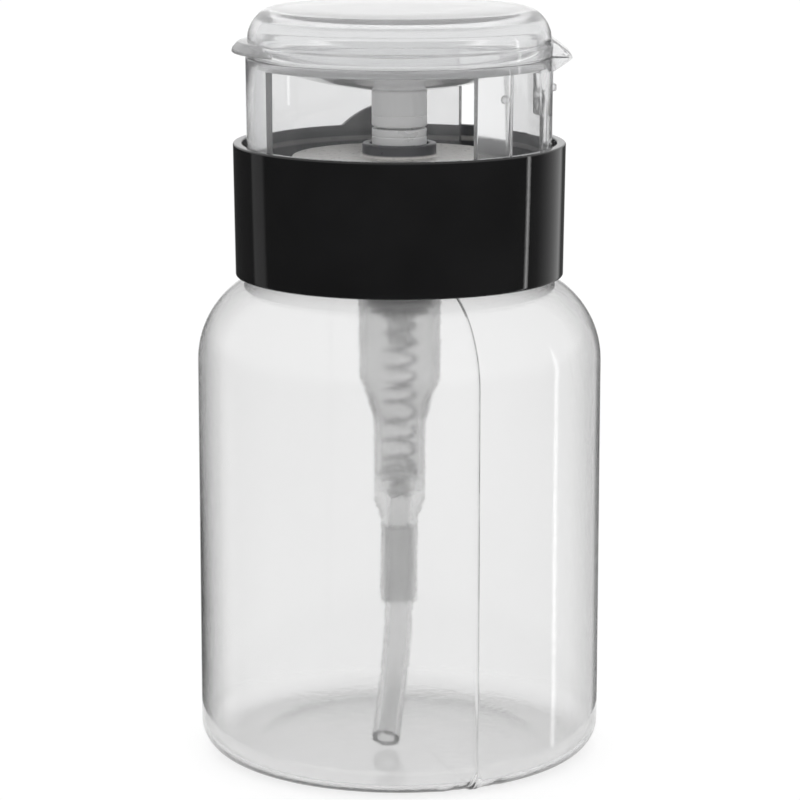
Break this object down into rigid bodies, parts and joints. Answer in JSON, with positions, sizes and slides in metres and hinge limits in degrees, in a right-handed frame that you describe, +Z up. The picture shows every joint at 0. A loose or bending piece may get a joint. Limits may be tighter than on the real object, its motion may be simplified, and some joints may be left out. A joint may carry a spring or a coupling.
{
  "type": "press-down liquid dispenser bottle",
  "caption": "Translucent plastic bottle with a black screw collar and a clear push-down pump head: pressing the dish brings liquid up under a flip-top lid.",
  "frame": {"origin": "centre of the standing ring on the underside of the bottle, on its axis", "axes": "+Z is up along the bottle's axis, +X is towards the lid's hinge, -X towards the thumb tab, and -Y is the front"},
  "size_m": [0.062, 0.062, 0.1143],
  "materials": {
    "bottle_plastic": "translucent natural blow-moulded plastic, softly glossy",
    "black_plastic": "polished black injection-moulded plastic",
    "clear_plastic": "clear polished plastic",
    "pump_plastic": "natural translucent moulded plastic",
    "seal": "soft off-white sealing plastic",
    "steel": "bright stainless steel"
  },
  "bodies": {
    "bottle": {"bottle": "bottle_plastic"},
    "pump": {"pump_housing": "pump_plastic", "housing_cap": "pump_plastic", "stem_wiper": "seal", "neck_gasket": "seal", "dip_tube": "pump_plastic", "return_spring": "steel"},
    "collar": {"collar": "black_plastic"},
    "plunger": {"stem": "clear_plastic", "piston": "seal", "piston_post": "pump_plastic"},
    "head": {"dish": "clear_plastic", "skirt": "clear_plastic", "outlet_cover": "clear_plastic", "hinge_web_lower": "clear_plastic"},
    "lid": {"lid": "clear_plastic", "hinge_web_upper": "clear_plastic"},
    "inlet_valve": {"inlet_ball": "steel"},
    "outlet_valve": {"outlet_ball": "steel"}
  },
  "joints": [
    {"name": "pump_lift", "type": "slide", "parent": "bottle", "child": "pump", "axis": [0, 0, 1], "range_m": [0, 0.004]},
    {"name": "collar_unscrew", "type": "hinge", "parent": "pump", "child": "collar", "pos_m": [0, 0, 0.08], "axis": [0, 0, 1], "range_deg": [0, 451]},
    {"name": "pump_stroke", "type": "slide", "parent": "pump", "child": "plunger", "axis": [0, 0, -1], "range_m": [0, 0.007], "stiffness_N_per_m": 1200, "springref_m": -0.004, "deforming": ["return_spring"]},
    {"name": "head_swivel", "type": "hinge", "parent": "plunger", "child": "head", "pos_m": [0, 0, 0.1], "axis": [0, 0, 1], "continuous": true},
    {"name": "lid_hinge", "type": "hinge", "parent": "head", "child": "lid", "pos_m": [0.0256, 0, 0.10745], "axis": [0, 1, 0], "range_deg": [0, 170]},
    {"name": "inlet_valve_lift", "type": "slide", "parent": "pump", "child": "inlet_valve", "axis": [0, 0, 1], "range_m": [0, 0.0006]},
    {"name": "outlet_valve_lift", "type": "slide", "parent": "plunger", "child": "outlet_valve", "axis": [0, 0, 1], "range_m": [0, 0.001]}
  ],
  "couplings": [
    {"joint": "collar_unscrew", "follows": "pump_lift", "rad_per_m": 1963.5}
  ]
}
